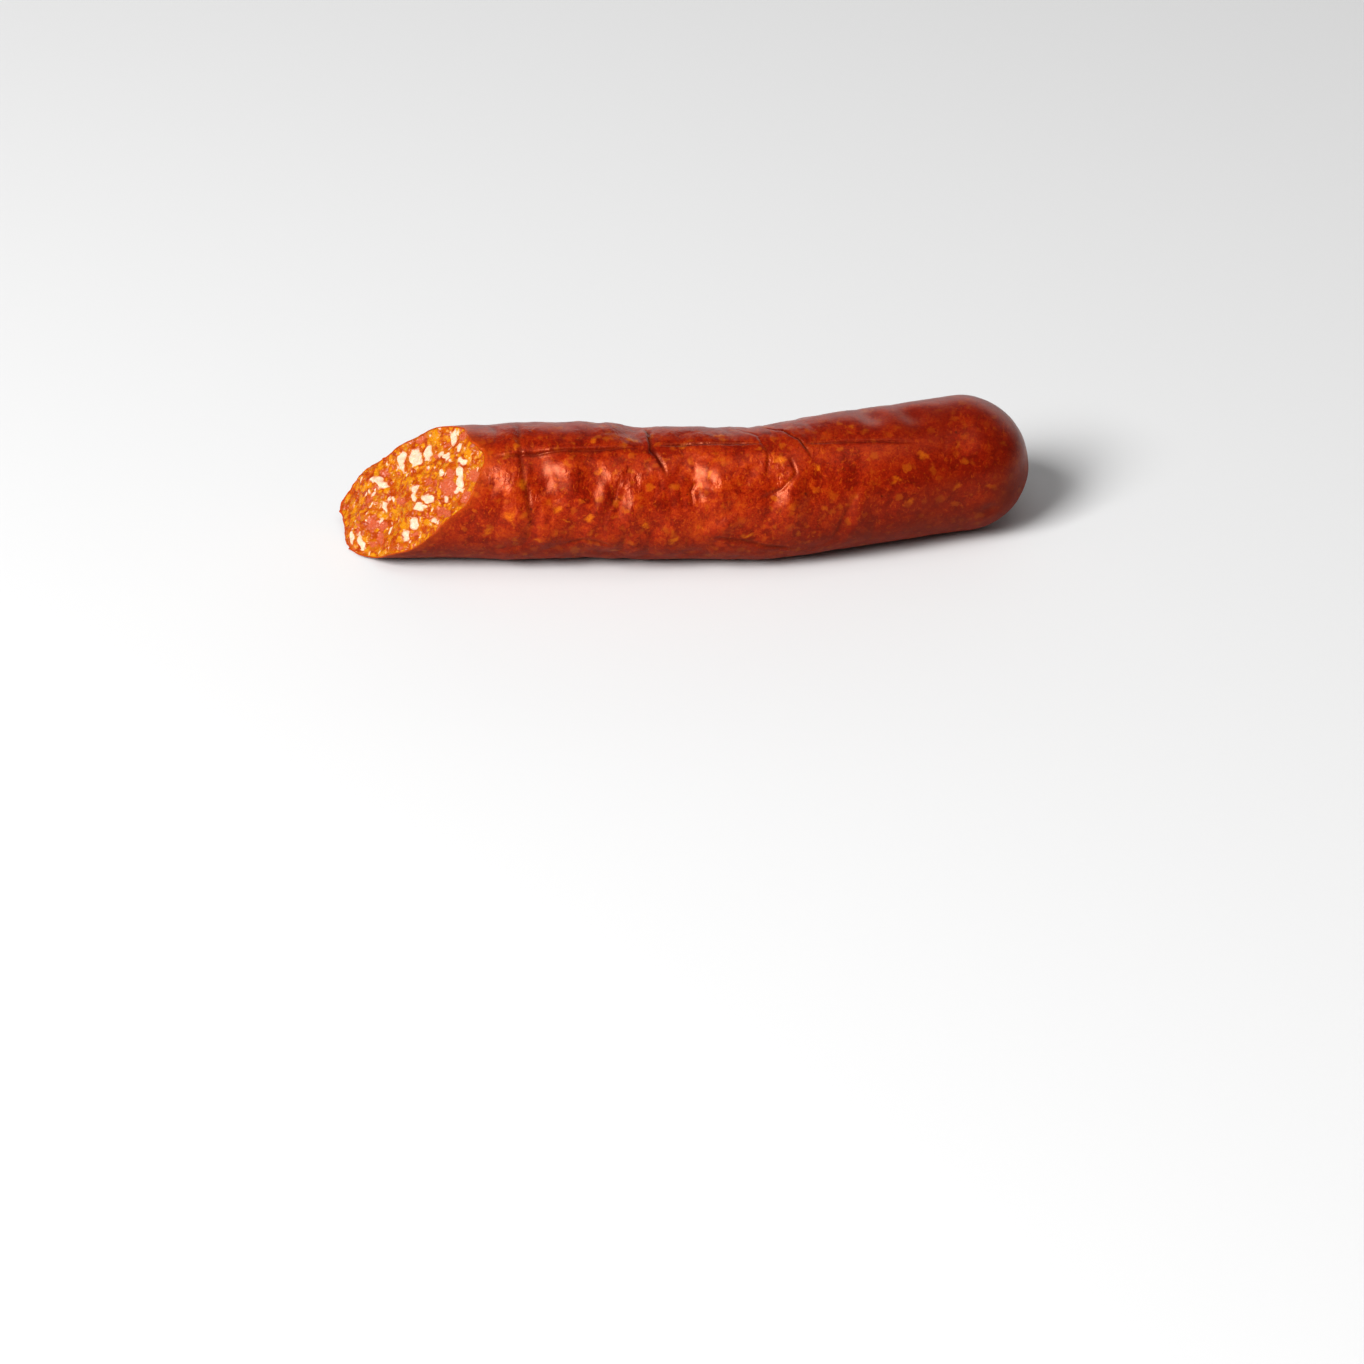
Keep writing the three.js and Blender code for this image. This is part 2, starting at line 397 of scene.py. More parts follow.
# The cut isn't quite flat: its height over the knife's plane in mm, a wide wave and a short one.
def cutRelief(points):
    flat = np.stack([(points - cutMiddle) @ cutAcross, (points - cutMiddle) @ cutUp], -1)
    sway, swayLength = sausage["cutSway"]
    ripple, rippleLength = sausage["cutRipple"]
    return sway * waves(flat, swayLength, 37) + ripple * waves(flat, rippleLength, 38)


# Distance along the centreline at which a wall meets the cut: moved along by its height over the cut, divided
# by the cut's own lean, until it lies in it. proud is how far it then stands out of the cut.
def cutAlong(around, reachOf, lowest, proud=0.0):
    along = np.zeros(around.shape)
    for _ in range(20):
        points = skinPoint(along, around, reachOf(along, around))
        points[:, 2] = np.maximum(points[:, 2], lowest)
        height = (points - cutMiddle) @ cutNormal - cutRelief(points) - proud
        along = along - height / cutNormal[0]
    return along


# Column angles, packed closer along the long fold on the top and a little at the front than underneath: their
# density is a constant and two bell curves, added up round the sausage and shared out evenly.
def columnAngles(count, foldAngle):
    fine = np.linspace(-np.pi, np.pi, 4000)
    byFold = np.exp(-(((fine - foldAngle) / 0.035) ** 2))
    front = np.exp(-(((fine - 0.9) / 0.9) ** 2))
    density = 0.75 + 3.0 * byFold + 0.6 * front
    passed = np.concatenate([[0], np.cumsum((density[1:] + density[:-1]) / 2)])
    return np.interp(np.arange(count) / count, passed / passed[-1], fine)


foldLine = np.array([point for fold in skin["folds"][:3] for point in fold[0]], dtype=float)
foldAngle = np.radians(foldLine[:, 1].mean())
columns = columnAngles(skin["columns"], foldAngle)


# Angle of each column at a distance along: the columns by the long fold follow its line.
def followFold(along, column):
    offset = np.radians(np.interp(along, foldLine[:, 0], foldLine[:, 1])) - foldAngle
    nearness = 0.5 + 0.5 * np.cos(np.clip((column - foldAngle) / 1.1, -1, 1) * np.pi)
    return column + offset * nearness


# How far the skin is from the centreline: the smooth radius and both parts of the relief.
def outerReach(along, around):
    broad, fine, _ = skinRelief(along, around, np.zeros(along.shape))
    return outsideRadius(along) + broad + fine


# Behind the cut the inner wall follows the skin, then it goes deeper over the next few mm.
def innerReach(along, around, start=None, extra=0.0):
    broad, fine, _ = skinRelief(along, around, np.zeros(along.shape))
    hidden = 0 if start is None else ease(along - start, 0.5, 4)
    depth = skin["wall"] + (skin["hiddenWall"] - skin["wall"]) * hidden + extra
    return outsideRadius(along) + (broad + fine) * (1 - hidden) - depth


# Rows of the round end: (forward share, reach) over the ball, then up the neck to the twist's tip. The neck
# narrows exponentially from the shoulder, eases out again towards the tip, and ends in a quarter circle.
def endProfile(radius):
    shoulder, neck, tip = sausage["twistShoulder"], sausage["twistNeck"] / 2, sausage["twistTip"] / 2
    tilt = np.linspace(0, np.arccos(shoulder / radius), skin["endRows"] + 1)[1:]
    height = np.linspace(0, 1, skin["neckRows"] + 1)[1:] ** 0.9 * (sausage["twistLength"] + 0.15)
    width = neck + (shoulder - neck) * np.exp(-height / 0.45) + (tip - neck) * ease(height, 1.0, 2.4)
    intoTip = np.clip((height - sausage["twistLength"] + 0.9) / 0.9, 0, 1)
    width = np.maximum(width * np.sqrt(np.clip(1 - intoTip**2, 0, 1)), 0.02)
    foot = radius * np.sin(tilt[-1])
    axial = foot + height * (radius + sausage["twistLength"] - foot) / height[-1]
    length = np.hypot(axial, width)
    forward = np.concatenate([np.sin(tilt), axial / length])
    return forward[:, None], np.concatenate([np.full(tilt.shape, radius), length])[:, None], len(tilt)


# Shares of the way from the cut to the round end for the skin's rows, closer at the cut and at the folds.
def rowShares(count):
    fine = np.linspace(0, 1, 3000)
    folded = ease(fine, 0.12, 0.2) * (1 - ease(fine, 0.66, 0.75))
    density = 0.75 + 1.0 * folded + 0.8 * np.exp(-((fine / 0.03) ** 2))
    passed = np.concatenate([[0], np.cumsum((density[1:] + density[:-1]) / 2)])
    return np.interp(np.arange(count) / (count - 1), passed / passed[-1], fine)[:, None]


# 1 inside the pieces of fat that show through, fading out over their edges: an ellipse's own measure on the
# unrolled skin, wavered.
def fatUnderSkin(along, around):
    wrapped = (around + np.pi) % (2 * np.pi) - np.pi
    place = np.stack([along, wrapped * fullRadius], -1)
    x = along + 0.3 * waves(place, 2.8, 51)
    y = place[..., 1] + 0.3 * waves(place, 2.8, 52)
    shown = np.zeros(along.shape)
    for at, angle, halfLength, halfWidth, slant in skin["fat"]:
        c, s = np.cos(np.radians(slant)), np.sin(np.radians(slant))
        dx, dy = x - at, y - np.radians(angle) * fullRadius
        measure = np.hypot((dx * c + dy * s) / halfLength, (dy * c - dx * s) / (0.2 + halfWidth))
        shown = np.maximum(shown, 1 - ease(measure, 0.5, 1.4))
    return shown


# How dark the skin turns: on the top and towards the round end, and as painted shade underneath and low down
# before the round end. Each place keeps its own share clean, and the clean shares are multiplied.
def smokeAndShadeShare(along, around):
    top = np.exp(-(((np.degrees((around + np.pi) % (2 * np.pi) - np.pi) + 4) / 24) ** 2))
    # painted shade underneath and low down before the round end
    underShade = ease(-np.cos(around), -0.25, 0.8)
    end = ease(along, 104, 160)
    lowEndShade = ease(along, 70, 140) * ease(-np.cos(around), -0.7, 0.2)
    topClean = 1 - 0.55 * top * ease(along, 8, 26)
    return 1 - topClean * (1 - 0.75 * underShade) * (1 - 0.85 * end) * (1 - 0.55 * lowEndShade)


# The round end's rows. The ball carries pleats, a cosine round the neck that a bell curve keeps close to it,
# and the twist is ribbed like a wrung cloth, by a cosine that turns as it goes up.
def roundEnd(lastAround, radius, middle, pole):
    forward, reach, ballRows = endProfile(radius)
    around = np.broadcast_to(lastAround, (len(forward), len(lastAround)))
    forwardRows = forward + 0 * around
    along = sausage["length"] + radius * np.arcsin(np.clip(forwardRows, 0, 1))
    broad, fine, grooveShade = skinRelief(along, around, forwardRows)
    fromPole = np.sqrt(np.clip(1 - forward**2, 0, 1)) * reach
    onNeck = (np.arange(len(forward)) >= ballRows)[:, None]
    wring = np.cos(skin["twistRibs"] * around + 2.2 * (reach - radius))
    gather = skin["pleatHeight"] * np.exp(-(((fromPole - 3.0) / 3.4) ** 2))
    pleats = gather * np.cos(skin["pleats"] * around + 1.2 * np.cos(3 * around))
    relief = np.where(onNeck, 0, broad + fine + pleats)
    points = skinPoint(np.full(around.shape, sausage["length"]), around, reach + relief, forwardRows)
    outward = points - middle - ((points - middle) @ pole)[..., None] * pole
    spread = np.linalg.norm(outward, axis=-1, keepdims=True)
    ribs = np.where(onNeck, skin["ribHeight"] * wring, 0)[..., None] * np.minimum(spread / 1.2, 1)
    points = points + ribs * outward / np.maximum(spread, 1e-6)
    # the last field is painted shade: along the folds, and on the neck between the twist's ribs
    return points, along, around, np.where(onNeck, 0.4 - 0.4 * wring, grooveShade)


# The inner wall's rows: close together behind the cut, coarse where they are never seen, then a plain ball.
def innerWall(startAround, endReach):
    start = cutAlong(startAround, innerReach, skin["wall"])
    shares = np.concatenate([np.linspace(0, 4, 9) / 160, np.linspace(0.06, 1, 16)])[:, None]
    along = start + (sausage["length"] - start) * shares
    around = followFold(along, columns[None, :])
    body = skinPoint(along, around, innerReach(along, around, start))
    forward = np.sin(np.linspace(0, np.pi / 2, 9)[1:-1, None]) + 0 * columns
    endAround = np.broadcast_to(around[-1], forward.shape)
    end = skinPoint(np.full(forward.shape, sausage["length"]), endAround, endReach, forward)
    return np.concatenate([body, end])


# The casing: rows of skin from the cut to the tip of the twist, a flecked rim, and the inner wall behind it.
def makeCasing(material):
    count = len(columns)
    startAround = followFold(np.zeros(count), columns)
    rimPlace = np.stack([slimRadius * np.cos(startAround), slimRadius * np.sin(startAround)], -1)
    flecks = 0.35 * np.maximum(waves(rimPlace, 1.7, 22) - 1.1, 0)
    start = cutAlong(startAround, outerReach, 0, 0.05 * waves(rimPlace, 2.0, 21) + flecks)
    along = start + (sausage["length"] - start) * rowShares(skin["rows"])
    around = followFold(along, columns[None, :])
    broad, fine, grooveShade = skinRelief(along, around, np.zeros(along.shape))
    body = skinPoint(along, around, outsideRadius(along) + broad + fine)

    radius = float(outsideRadius(sausage["length"]))
    middle = skinPoint(sausage["length"], 0.0, 0.0, 1.0)
    pole = skinPoint(sausage["length"], 0.0, 1.0, 1.0) - middle
    end, endAlong, endAround, endGrooveShade = roundEnd(around[-1], radius, middle, pole)
    outerRows = np.concatenate([body, end])
    tip = middle + pole * (radius + sausage["twistLength"] + 0.02)
    innerEndReach = radius - skin["hiddenWall"] - 0.3  # clear of the relief there too
    innerRows = innerWall(startAround, innerEndReach)
    innerPole = middle + pole * innerEndReach

    points = np.concatenate([outerRows.reshape(-1, 3), tip[None], innerRows.reshape(-1, 3), innerPole[None]])
    lowest = np.where(np.arange(len(points)) <= outerRows.shape[0] * count, 0, skin["wall"])
    points[:, 2] = np.maximum(points[:, 2], lowest)
    outerIndex = np.arange(len(outerRows) * count).reshape(-1, count)
    tipIndex = outerIndex[-1, -1] + 1
    innerIndex = tipIndex + 1 + np.arange(len(innerRows) * count).reshape(-1, count)
    poleIndex = innerIndex[-1, -1] + 1
    faces = [
        quads(outerIndex)[:, ::-1],
        quads(innerIndex),
        quads(np.stack([innerIndex[0], outerIndex[0]]))[:, ::-1],
        np.stack([outerIndex[-1], np.roll(outerIndex[-1], -1), np.full(count, tipIndex)], -1),
        np.stack([np.roll(innerIndex[-1], -1), innerIndex[-1], np.full(count, poleIndex)], -1),
    ]

    # what the material reads, by place on the skin; the tip and the inner wall come last
    hidden = np.zeros(len(innerRows) * count + 2)
    allAlong, allAround = np.concatenate([along, endAlong]), np.concatenate([around, endAround])
    fields = {
        # painted shade in the folds and between the twist's ribs
        "grooveShade": np.concatenate([grooveShade, endGrooveShade]),
        "fatBelow": fatUnderSkin(allAlong, allAround),
        # darker on the top and at the round end, and painted shade underneath and low down before the round end
        "smokeAndShade": smokeAndShadeShare(allAlong, allAround),
        "wrinkle": ease(allAlong, 12, 34) * (1 - ease(allAlong, 108, 135)),
        "rim": 1 - 0.55 * ease(allAlong - start, 0.1, 0.8) - 0.45 * ease(allAlong - start, 0.5, 4.5),
        "dull": ease(-np.cos(allAround), -0.55, 0.3),
    }
    attributes = {name: np.concatenate([values.ravel(), hidden]) for name, values in fields.items()}
    attributes["rim"][-len(hidden) :] = 1
    return makePiece("casingSkin", points + shift, faces, material, attributes, [outerIndex[0], innerIndex[0]])


meat = {
    "faceCells": 268,  # cells across the cut face, each way
    "gap": 0.03,  # between the mince and the casing at the cut
    "fatProud": 0.22,  # how far a lump of fat stands out of the face, and how deep lean sinks
    "leanSunk": 0.12,
    # main lumps: across mm, up mm, half length, half width, angle of the length in degrees
    "fat": [
        (-6.0, 9.0, 3.0, 2.3, 170), (-3.0, 12.5, 2.6, 1.5, 130), (-11.0, 6.0, 2.2, 1.5, 90),
        (-9.0, 4.0, 1.1, 0.8, 0), (3.0, 21.0, 2.4, 1.2, 130), (5.2, 15.6, 2.3, 1.1, 10),
        (2.6, 15.2, 1.2, 0.7, 20), (8.6, 20.4, 1.6, 1.1, 170), (13.5, 18.0, 1.9, 1.0, 20),
        (15.0, 15.2, 1.9, 1.3, 150), (17.0, 12.9, 1.8, 1.4, 150), (18.2, 11.0, 2.4, 0.7, 35),
        (2.8, 2.2, 1.7, 0.9, 150), (4.6, 0.4, 1.5, 0.8, 160), (9.4, 3.0, 2.3, 1.3, 20),
        (9.0, -0.3, 2.2, 1.1, 30), (15.6, 6.6, 1.4, 0.8, 170), (17.0, -0.4, 1.6, 0.7, 15),
        (10.5, -5.2, 2.0, 1.5, 150), (10.2, -9.4, 1.9, 1.3, 140), (-9.2, -21.2, 2.3, 0.9, 150),
        (-4.8, -20.4, 2.8, 1.0, 155), (-13.2, -3.6, 2.4, 0.9, 170), (-11.2, -3.4, 1.6, 0.9, 20),
        (-6.0, -8.0, 1.9, 0.7, 155), (-15.6, -4.5, 1.0, 0.8, 170), (2.0, -11.8, 1.3, 0.7, 95),
        (8.5, 11.4, 1.1, 0.7, 170),
    ],
    "lean": [
        (-5.6, -14.6, 2.6, 1.3, 150), (-2.6, -12.8, 3.0, 1.3, 20), (0.8, -15.6, 2.6, 1.3, 150),
        (-0.8, -18.4, 1.8, 0.9, 20), (14.2, 9.6, 3.4, 2.3, 15), (18.6, 3.4, 3.8, 1.3, 15),
        (23.0, 11.0, 2.6, 1.9, 5), (21.0, 17.5, 2.6, 1.7, 175), (7.0, 23.2, 2.2, 1.2, 20),
        (12.2, 13.0, 1.8, 1.1, 165), (-1.4, -3.6, 1.8, 1.2, 150), (-8.8, 14.0, 1.8, 1.1, 45),
        (-11.7, -15.8, 1.2, 0.8, 10), (5.7, 6.7, 1.8, 1.0, 20), (-13.8, -0.6, 1.8, 0.9, 20),
        (1.5, -2.7, 1.7, 1.0, 175),
    ],
    "amber": [
        (-4.0, 17.6, 2.3, 1.6, 15), (-16.4, -11.4, 1.8, 1.1, 0), (-17.0, -15.0, 1.6, 1.0, 10),
        (2.5, -20.9, 1.4, 1.0, 0), (5.8, -18.7, 1.5, 1.0, 10), (-2.0, 3.3, 2.1, 1.0, 20),
        (8.2, 17.0, 1.3, 0.8, 170), (14.6, 20.4, 2.8, 1.2, 145), (-3.2, 7.2, 1.3, 0.8, 160),
        (7.1, -7.9, 1.7, 1.1, 175), (-5.8, -1.0, 1.3, 0.9, 170), (1.0, 5.8, 1.4, 0.9, 0),
        (-4.3, -10.4, 1.9, 0.9, 20), (-17.3, -8.0, 1.9, 1.0, 50), (14.7, -2.3, 1.6, 0.9, 20),
        (-1.4, -7.0, 1.6, 0.8, 20),
    ],
}


# How far points of the cut face are from the nearest lump's edge, in mm, negative inside: an ellipse's
# own measure (its distance from the middle over its radius, less 1) times its mean radius. Lumps that nearly
# touch flow together, as a log of summed exponentials makes them.
def lumpDistance(across, up, lumps):
    closeness = np.full(across.shape, 1e-20)
    for x, y, longHalf, shortHalf, angle in lumps:
        c, s = np.cos(np.radians(angle)), np.sin(np.radians(angle))
        u = ((across - x) * c + (up - y) * s) / longHalf
        v = ((up - y) * c - (across - x) * s) / shortHalf
        closeness += np.exp(-8 * (np.hypot(u, v) - 1) * np.sqrt(longHalf * shortHalf))
    return -np.log(closeness) / 8


# Small lumps between the main ones: a jittered grid of places, kept where no main lump is.
def scatterLumps(seed, spacing, sizes, share):
    rng = np.random.default_rng(seed)
    x, y = np.meshgrid(np.arange(-24, 25, spacing), np.arange(-30, 31, spacing * 0.87))
    x = x + np.where(np.arange(len(y))[:, None] % 2, spacing / 2, 0)
    x = (x + rng.normal(0, spacing * 0.3, x.shape)).ravel()
    y = (y + rng.normal(0, spacing * 0.3, y.shape)).ravel()
    main = lumpDistance(x, y, meat["fat"] + meat["lean"] + meat["amber"])
    size = rng.uniform(*sizes, len(x))
    longer = rng.uniform(1.0, 2.1, len(x))
    angle = rng.normal(115, 45, len(x))
    keep = (main > size * 0.7) & (rng.uniform(size=len(x)) < share)
    return list(zip(x[keep], y[keep], (size * longer)[keep], (size / longer**0.3)[keep], angle[keep]))


# The cut face's fields: distances to fat, lean and amber lumps with their edges wavered, and the height of the
# face over the cut. Fat stands a little proud and smooth, lean sinks, and the paste between is grainy.
def faceFields(across, up):
    place = np.stack([across, up], -1)
    wavedX = across + 0.20 * waves(place, 3.0, 31) + 0.04 * waves(place, 1.2, 32)
    wavedY = up + 0.20 * waves(place, 3.0, 33) + 0.04 * waves(place, 1.2, 34)
    fat = lumpDistance(wavedX, wavedY, meat["fat"] + scatterLumps(41, 2.4, (0.18, 0.50), 0.26))
    lean = lumpDistance(wavedX, wavedY, meat["lean"] + scatterLumps(42, 3.0, (0.35, 0.8), 0.30))
    amber = lumpDistance(wavedX, wavedY, meat["amber"] + scatterLumps(43, 1.9, (0.35, 0.75), 0.55))
    grain = waves(place, 1.25, 35)
    height = (
        meat["fatProud"] * ease(-fat, -0.15, 0.6)
        - meat["leanSunk"] * ease(-lean, -0.2, 0.5)
        + 0.10 * ease(-amber, -0.2, 0.4)
        - 0.16 * np.exp(-((fat / 0.22) ** 2))  # a moat round each piece of fat
        + 0.07 * grain * ease(fat, 0, 0.4)
        + 0.10 * waves(place, 3.2, 36)
    )
    return fat, lean, amber, height


# How far the mince reaches at the cut: the casing's inner wall, less the gap.
def fillingReach(along, around):
    return innerReach(along, around, None, meat["gap"])


# The filling: the uneven cut face and a body behind it. The face is a square grid drawn out to a disc, each
# axis times the root of 1 less half the other's square, and then to the casing's inner outline in the cut.
def makeFilling(material):
    cells = meat["faceCells"]
    u, v = np.meshgrid(np.linspace(-1, 1, cells + 1), np.linspace(-1, 1, cells + 1), indexing="ij")
    discX, discY = u * np.sqrt(1 - v**2 / 2), v * np.sqrt(1 - u**2 / 2)
    share = np.hypot(discX, discY)
    around = np.arctan2(discX, discY)
    ring = np.linspace(-np.pi, np.pi, 721)
    lowest = skin["wall"] + meat["gap"]
    ringAlong = cutAlong(ring, fillingReach, lowest)
    outline = skinPoint(ringAlong, ring, fillingReach(ringAlong, ring))
    outline[:, 2] = np.maximum(outline[:, 2], lowest)
    outline = outline - cutMiddle
    edge = np.stack([np.interp(around, ring, outline[:, i]) for i in range(3)], -1)
    edge -= (edge @ cutNormal)[..., None] * cutNormal
    flat = share[..., None] * edge
    across, up = flat @ cutAcross, flat @ cutUp
    fat, lean, amber, height = faceFields(across, up)
    height = height * ease(1 - share, 0, 0.03)
    face = cutMiddle + flat + (height + cutRelief(cutMiddle + flat))[..., None] * cutNormal

    # the body: coarse rows from the face's edge to the round end, with a quarter of the edge's columns
    index = np.arange((cells + 1) ** 2).reshape(cells + 1, cells + 1)
    edgeIndex = np.concatenate([index[:-1, 0], index[-1, :-1], index[:0:-1, -1], index[0, :0:-1]])
    bodyAround = around.ravel()[edgeIndex][::4]
    start = cutAlong(bodyAround, fillingReach, lowest)
    shares = np.concatenate([np.linspace(0.5, 5, 10) / 160, np.linspace(0.06, 1, 18)])[:, None]
    bodyAlong = start + (sausage["length"] - start) * shares
    bodyAngles = np.broadcast_to(bodyAround, bodyAlong.shape)
    body = skinPoint(bodyAlong, bodyAngles, innerReach(bodyAlong, bodyAngles, start, meat["gap"] + 0.15))
    endReach = float(outsideRadius(sausage["length"])) - skin["hiddenWall"] - 0.9  # inside the casing's wall
    forward = np.sin(np.linspace(0, np.pi / 2, 10)[1:-1, None]) + 0 * bodyAround
    endAround = np.broadcast_to(bodyAround, forward.shape)
    end = skinPoint(np.full(forward.shape, sausage["length"]), endAround, endReach, forward)
    pole = skinPoint(sausage["length"], 0.0, endReach, 1.0)
    rows = np.concatenate([body, end])
    points = np.concatenate([face.reshape(-1, 3), rows.reshape(-1, 3), pole[None]])
    points[:, 2] = np.maximum(points[:, 2], lowest)
    count = len(bodyAround)
    rowIndex = (cells + 1) ** 2 + np.arange(len(rows) * count).reshape(-1, count)
    near, far = rowIndex[0], np.roll(rowIndex[0], -1)
    e = [np.roll(edgeIndex, -k)[::4] for k in range(5)]  # the edge, four cells to each column of the body
    fans = [(e[1], e[0], near), (e[2], e[1], near), (far, e[2], near), (e[3], e[2], far), (e[4], e[3], far)]
    last = rowIndex[-1]
    faces = [
        quads(index, closed=False),
        np.concatenate([np.stack(fan, -1) for fan in fans]),
        quads(rowIndex),
        np.stack([np.roll(last, -1), last, np.full(count, rowIndex[-1, -1] + 1)], -1),
    ]
    rest = np.full(len(rows) * count + 1, 2.0)  # no lumps on the body
    fields = {"fat": fat, "lean": lean, "amber": amber}
    attributes = {
        name: np.concatenate([np.clip(values, -3, 3).ravel(), rest]) for name, values in fields.items()
    }
    return makePiece("mincedFilling", points + shift, faces, material, attributes, [edgeIndex])


# Hog casing, dried and cold smoked: a thin clear skin, stained red by paprika, over coarse meat that shows
# through as a soft mosaic of deep red lean and orange fat. Gives a deep red with a broad, warm satin gloss.
def casingMaterial():
    material, tree = emptyMaterial("smokedHogCasing")
    coords = addNode(tree, "ShaderNodeTexCoord", {}, {}).outputs["Object"]
    fields = {
        name: addNode(tree, "ShaderNodeAttribute", {"attribute_name": name}, {}).outputs["Fac"]
        for name in ("grooveShade", "fatBelow", "smokeAndShade", "wrinkle", "rim", "dull")
    }

    # ground: 2.2 mm cells, blurred into each other and broken up by grit, from deep red to orange red, over
    # 11 mm clouds
    warp = addNode(tree, "ShaderNodeTexNoise", {}, {
        "Vector": coords, "Scale": 420, "Detail": 3, "Roughness": 0.6,
    })
    warpCentred = addNode(tree, "ShaderNodeVectorMath", {"operation": "SUBTRACT"}, {
        0: warp.outputs["Color"], 1: (0.5, 0.5, 0.5),
    })
    warped = addNode(tree, "ShaderNodeVectorMath", {"operation": "MULTIPLY_ADD"}, {
        0: warpCentred.outputs[0], 1: (0.0032, 0.0032, 0.0032), 2: coords,
    })
    cells = addNode(tree, "ShaderNodeTexVoronoi", {"feature": "SMOOTH_F1"}, {
        "Vector": warped.outputs[0], "Scale": 460, "Smoothness": 0.8,
    })
    cellParts = addNode(tree, "ShaderNodeSeparateColor", {}, {0: cells.outputs["Color"]})
    clouds = addNode(tree, "ShaderNodeTexNoise", {}, {
        "Vector": coords, "Scale": 90, "Detail": 3, "Roughness": 0.55,
    })
    cloudy = addNode(tree, "ShaderNodeMath", {"operation": "MULTIPLY_ADD"}, {
        0: clouds.outputs["Fac"], 1: 0.9, 2: -1.27,
    })
    grit = addNode(tree, "ShaderNodeTexNoise", {}, {
        "Vector": coords, "Scale": 1250, "Detail": 5, "Roughness": 0.85,
    })
    gritty = addNode(tree, "ShaderNodeMath", {"operation": "MULTIPLY_ADD"}, {
        0: grit.outputs["Fac"], 1: 2.1, 2: cloudy.outputs[0],
    })
    mosaic = addNode(tree, "ShaderNodeMath", {"operation": "MULTIPLY_ADD"}, {
        0: cellParts.outputs[0], 1: 0.55, 2: gritty.outputs[0],
    })
    ground = addNode(tree, "ShaderNodeValToRGB", {}, {0: mosaic.outputs[0]})
    setStops(ground.color_ramp, [(0.0, "#600c02"), (0.36, "#7c1703"), (0.64, "#912605"), (1.0, "#a43c08")])

    # soft specks of fat, up to 2.5 mm, in about two cells out of five, and the larger pieces that stand out
    specks = addNode(tree, "ShaderNodeTexVoronoi", {"feature": "F1"}, {
        "Vector": warped.outputs[0], "Scale": 420,
    })
    speckParts = addNode(tree, "ShaderNodeSeparateColor", {}, {0: specks.outputs["Color"]})
    reach = addNode(tree, "ShaderNodeMapRange", {}, {
        0: speckParts.outputs[0], 1: 0.62, 2: 1.0, 3: 0.0, 4: 0.55,
    })
    inside = addNode(tree, "ShaderNodeMath", {"operation": "SUBTRACT"}, {
        0: reach.outputs[0], 1: specks.outputs["Distance"],
    })
    speckMask = addNode(tree, "ShaderNodeMapRange", {"interpolation_type": "SMOOTHSTEP"}, {
        0: inside.outputs[0], 1: -0.26, 2: 0.22, 3: 0, 4: 0.5,
    })
    speckTint = addNode(tree, "ShaderNodeMix", {"data_type": "RGBA"}, {
        0: speckParts.outputs[1], 6: colour("#a2440a"), 7: colour("#b8640e"),
    })
    specked = addNode(tree, "ShaderNodeMix", {"data_type": "RGBA"}, {
        0: speckMask.outputs[0], 6: ground.outputs[0], 7: speckTint.outputs[2],
    })
    veil = addNode(tree, "ShaderNodeMapRange", {}, {0: grit.outputs["Fac"], 1: 0.35, 2: 0.62, 3: 0.35, 4: 0.9})
    fatMask = addNode(tree, "ShaderNodeMath", {"operation": "MULTIPLY"}, {
        0: fields["fatBelow"], 1: veil.outputs[0],
    })
    fatty = addNode(tree, "ShaderNodeMix", {"data_type": "RGBA"}, {
        0: fatMask.outputs[0], 6: specked.outputs[2], 7: colour("#c46a0a"),
    })

    # threads of orange fat, 0.7 mm wide and 3 mm long, close under the skin; the real ones are finer
    threadMap = addNode(tree, "ShaderNodeMapping", {}, {
        "Vector": warped.outputs[0], "Rotation": (0.3, 0.8, 0.5), "Scale": (1.0, 0.25, 0.6),
    })
    threads = addNode(tree, "ShaderNodeTexNoise", {}, {
        "Vector": threadMap.outputs[0], "Scale": 1400, "Detail": 3, "Roughness": 0.6,
    })
    threadMask = addNode(tree, "ShaderNodeMapRange", {"interpolation_type": "SMOOTHSTEP"}, {
        0: threads.outputs["Fac"], 1: 0.54, 2: 0.74, 3: 0, 4: 0.55,
    })
    threaded = addNode(tree, "ShaderNodeMix", {"data_type": "RGBA"}, {
        0: threadMask.outputs[0], 6: fatty.outputs[2], 7: colour("#b8560c"),
    })

    # the top and the round end turn plum brown, unevenly, and so do the underside and the low part before the
    # round end, where that brown is painted shade; the folds get darker painted shade
    haze = addNode(tree, "ShaderNodeMapRange", {}, {0: clouds.outputs["Fac"], 1: 0.3, 2: 0.7, 3: 0.35, 4: 0.8})
    smokeAndShadeAmount = addNode(tree, "ShaderNodeMath", {"operation": "MULTIPLY"}, {
        0: fields["smokeAndShade"], 1: haze.outputs[0],
    })
    smokedAndShaded = addNode(tree, "ShaderNodeMix", {"data_type": "RGBA"}, {
        0: smokeAndShadeAmount.outputs[0], 6: threaded.outputs[2], 7: colour("#5a0a03"),
    })
    # painted shade in the folds, mixed towards a near black red
    foldShadeAmount = addNode(tree, "ShaderNodeMath", {"operation": "MULTIPLY"}, {0: fields["grooveShade"], 1: 0.85})
    folded = addNode(tree, "ShaderNodeMix", {"data_type": "RGBA"}, {
        0: foldShadeAmount.outputs[0], 6: smokedAndShaded.outputs[2], 7: colour("#3c0602"),
    })

